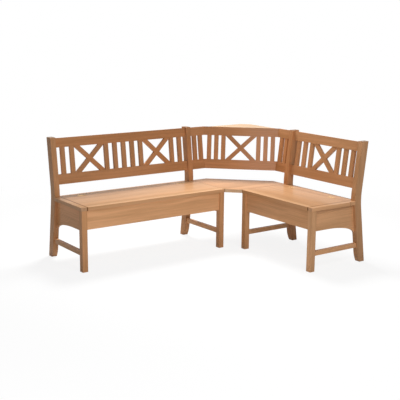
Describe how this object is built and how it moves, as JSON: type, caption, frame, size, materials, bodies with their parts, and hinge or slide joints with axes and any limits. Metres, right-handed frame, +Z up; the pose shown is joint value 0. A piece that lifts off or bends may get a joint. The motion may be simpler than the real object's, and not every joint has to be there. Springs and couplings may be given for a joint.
{
  "type": "corner storage bench",
  "caption": "Wooden corner bench: a long and a short chest bench with lift-up seats, joined by a corner seat with a mitred back of slats and crosses.",
  "frame": {"origin": "on the floor, under the middle of the bounding box", "axes": "+X along the long bench towards the corner, +Y from the long bench's front to its back, +Z up"},
  "size_m": [1.853, 1.411, 0.886],
  "materials": {
    "seat_wood": "clear satin lacquer, pale",
    "frame_wood": "clear satin lacquer",
    "panel_wood": "clear satin lacquer",
    "back_wood": "clear satin lacquer, warm",
    "plywood": "sanded, uncoated",
    "hinge_brass": "brushed"
  },
  "bodies": {
    "bench_frame": {"corner_back_cross_falling_lath": "back_wood", "corner_back_cross_rising_lath": "back_wood", "corner_back_left_slatted_rail": "back_wood", "corner_back_left_top_rail": "back_wood", "corner_back_middle_slatted_rail": "back_wood", "corner_back_middle_top_rail": "back_wood", "corner_back_right_slatted_rail": "back_wood", "corner_back_right_top_rail": "back_wood", "corner_seat": "seat_wood", "corner_seat_bearer_left": "frame_wood", "corner_seat_bearer_right": "frame_wood", "corner_shelf": "seat_wood", "corner_shelf_bearer": "frame_wood", "long_back_cross_1_falling_lath": "back_wood", "long_back_cross_1_rising_lath": "back_wood", "long_back_cross_2_falling_lath": "back_wood", "long_back_cross_2_rising_lath": "back_wood", "long_back_slatted_rail": "back_wood", "long_back_top_rail": "back_wood", "long_chest_floor": "plywood", "long_end_panel_inner": "panel_wood", "long_end_panel_outer": "panel_wood", "long_front_leg_inner": "frame_wood", "long_front_leg_outer": "frame_wood", "long_front_panel": "panel_wood", "long_hinge_1_fixed_leaf": "hinge_brass", "long_hinge_2_fixed_leaf": "hinge_brass", "long_rear_panel": "panel_wood", "long_rear_post_inner": "back_wood", "long_rear_post_outer": "back_wood", "long_seat_end_strip": "seat_wood", "long_seat_rear_strip": "seat_wood", "long_stretcher_inner": "frame_wood", "long_stretcher_outer": "frame_wood", "short_back_cross_1_falling_lath": "back_wood", "short_back_cross_1_rising_lath": "back_wood", "short_back_slatted_rail": "back_wood", "short_back_top_rail": "back_wood", "short_chest_floor": "plywood", "short_end_panel_inner": "panel_wood", "short_end_panel_outer": "panel_wood", "short_front_leg_inner": "frame_wood", "short_front_leg_outer": "frame_wood", "short_front_panel": "panel_wood", "short_hinge_1_fixed_leaf": "hinge_brass", "short_hinge_2_fixed_leaf": "hinge_brass", "short_rear_panel": "panel_wood", "short_rear_post_inner": "back_wood", "short_rear_post_outer": "back_wood", "short_seat_end_strip": "seat_wood", "short_seat_rear_strip": "seat_wood", "short_stretcher_inner": "frame_wood", "short_stretcher_outer": "frame_wood"},
    "long_lid_body": {"long_hinge_1_moving_leaf": "hinge_brass", "long_hinge_2_moving_leaf": "hinge_brass", "long_lid": "seat_wood"},
    "short_lid_body": {"short_hinge_1_moving_leaf": "hinge_brass", "short_hinge_2_moving_leaf": "hinge_brass", "short_lid": "seat_wood"}
  },
  "joints": [
    {"name": "long_lid_hinge", "type": "hinge", "parent": "bench_frame", "child": "long_lid_body", "pos_m": [-0.30746, 0.53954, 0.4605], "axis": [-1, 0, 0], "range_deg": [0, 102]},
    {"name": "short_lid_hinge", "type": "hinge", "parent": "bench_frame", "child": "short_lid_body", "pos_m": [0.76054, -0.31446, 0.4605], "axis": [0, 1, 0], "range_deg": [0, 102]}
  ]
}
